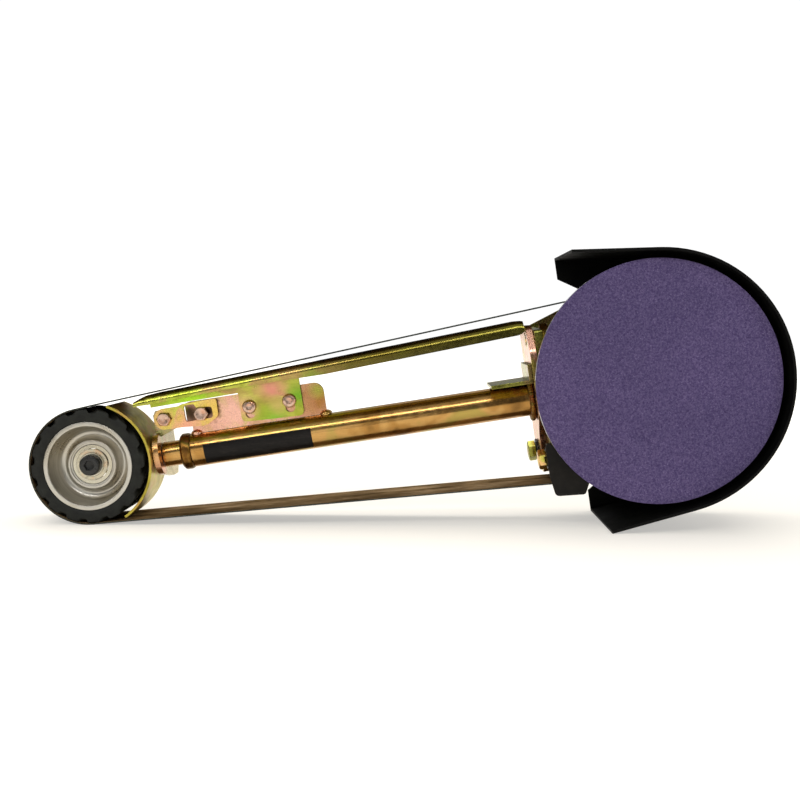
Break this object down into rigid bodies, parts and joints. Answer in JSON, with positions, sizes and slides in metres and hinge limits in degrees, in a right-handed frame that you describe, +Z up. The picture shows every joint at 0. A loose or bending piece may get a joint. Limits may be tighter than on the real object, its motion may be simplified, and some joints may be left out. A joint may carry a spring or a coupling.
{
  "type": "belt and disc grinder attachment",
  "caption": "Belt and disc grinding attachment for a bench grinder: tube arm, sprung contact wheel, platen, drive wheel with abrasive disc, and a U-shaped guard.",
  "frame": {"origin": "middle of the footprint, on the floor that the attachment lies on", "axes": "+X from the contact wheel towards the drive wheel, +Y from the disc side to the grinder side along the axles, +Z up"},
  "size_m": [0.5628, 0.1088, 0.2054],
  "materials": {
    "gold_zinc": "yellow zinc passivate, gold",
    "olive_zinc": "yellow zinc passivate, olive green",
    "pink_zinc": "yellow zinc passivate, pink",
    "brown_zinc": "yellow zinc passivate over a weld, brown",
    "pale_zinc": "pale zinc plate",
    "bearing_steel": "ground steel",
    "aluminium": "machined",
    "black_steel": "matte black",
    "rubber": "matte",
    "purple_grit": "abrasive grain on cloth",
    "belt_cloth": "cloth backing, grey grain outside",
    "label": "blank dark label"
  },
  "bodies": {
    "frame": {"arm_tube": "gold_zinc", "rod_bush": "brown_zinc", "web_plate": "pink_zinc", "tube_end_weld": "brown_zinc", "arm_end_plate": "pink_zinc", "angle_tab": "olive_zinc", "mount_bracket": "olive_zinc", "arm_bolt_upper": "gold_zinc", "arm_bolt_lower": "pale_zinc", "arm_nut_lower": "pale_zinc", "arm_bolt_washer": "black_steel", "side_guard": "black_steel", "side_guard_bolt": "gold_zinc", "side_guard_washer": "black_steel", "guard": "black_steel", "guard_screw_1": "black_steel", "guard_screw_2": "black_steel", "guard_screw_3": "black_steel", "guard_screw_4": "black_steel", "platen_screw_inner": "pale_zinc", "platen_screw_outer": "pale_zinc", "platen_nut_inner": "pale_zinc", "platen_nut_outer": "pale_zinc", "latch_stud": "pale_zinc", "latch_stud_nut": "pale_zinc", "tube_label": "label", "tension_spring": "black_steel", "abrasive_belt": "belt_cloth"},
    "drive": {"drive_wheel": "aluminium", "disc_plate": "aluminium", "sanding_disc": "purple_grit", "disc_screw_1": "black_steel", "disc_screw_2": "black_steel", "disc_screw_3": "black_steel"},
    "adaptor": {"adaptor_plate": "aluminium", "swivel_retainer": "olive_zinc", "retainer_screw_1": "black_steel", "retainer_screw_2": "black_steel", "retainer_screw_3": "black_steel"},
    "carriage": {"tension_rod": "gold_zinc", "wheel_bracket": "olive_zinc", "wheel_shield": "olive_zinc", "axle_bolt": "black_steel", "axle_lock_washer": "pale_zinc", "axle_washer": "gold_zinc", "axle_spacer": "pale_zinc", "bearing_spacer": "pale_zinc", "axle_nut": "gold_zinc", "inner_race_near": "bearing_steel", "inner_race_far": "bearing_steel", "latch_pivot_bolt": "pale_zinc", "latch_pivot_bolt_nut": "pale_zinc"},
    "contact_wheel": {"contact_hub": "aluminium", "contact_tyre": "rubber", "outer_race_near": "bearing_steel", "outer_race_far": "bearing_steel"},
    "latch": {"latch_link": "gold_zinc"},
    "platen": {"platen": "olive_zinc"}
  },
  "joints": [
    {"name": "drive_spin", "type": "hinge", "parent": "frame", "child": "drive", "pos_m": [0.1854, 0.0013, 0.10948], "axis": [0, 1, 0], "continuous": true},
    {"name": "arm_swivel", "type": "hinge", "parent": "frame", "child": "adaptor", "pos_m": [0.1854, 0.0013, 0.10948], "axis": [0, 1, 0], "range_deg": [-90, 90]},
    {"name": "belt_tension", "type": "slide", "parent": "frame", "child": "carriage", "axis": [0.9883, 0, 0.1525], "range_m": [0, 0.009], "stiffness_N_per_m": 2500, "springref_m": -0.02, "deforming": ["tension_spring"]},
    {"name": "contact_spin", "type": "hinge", "parent": "carriage", "child": "contact_wheel", "pos_m": [-0.2371, 0.0013, 0.0443], "axis": [0, 1, 0], "continuous": true},
    {"name": "latch_drop", "type": "hinge", "parent": "carriage", "child": "latch", "pos_m": [-0.18306, 0.0013, 0.07834], "axis": [0, 1, 0], "range_deg": [0, 6.1]},
    {"name": "platen_adjust", "type": "slide", "parent": "frame", "child": "platen", "axis": [-0.1525, 0, 0.9883], "range_m": [-0.0008, 0.0003]}
  ],
  "couplings": [
    {"joint": "contact_spin", "follows": "drive_spin", "ratio": 1.6166},
    {"joint": "latch_drop", "follows": "belt_tension", "rad_per_m": 11.667}
  ]
}
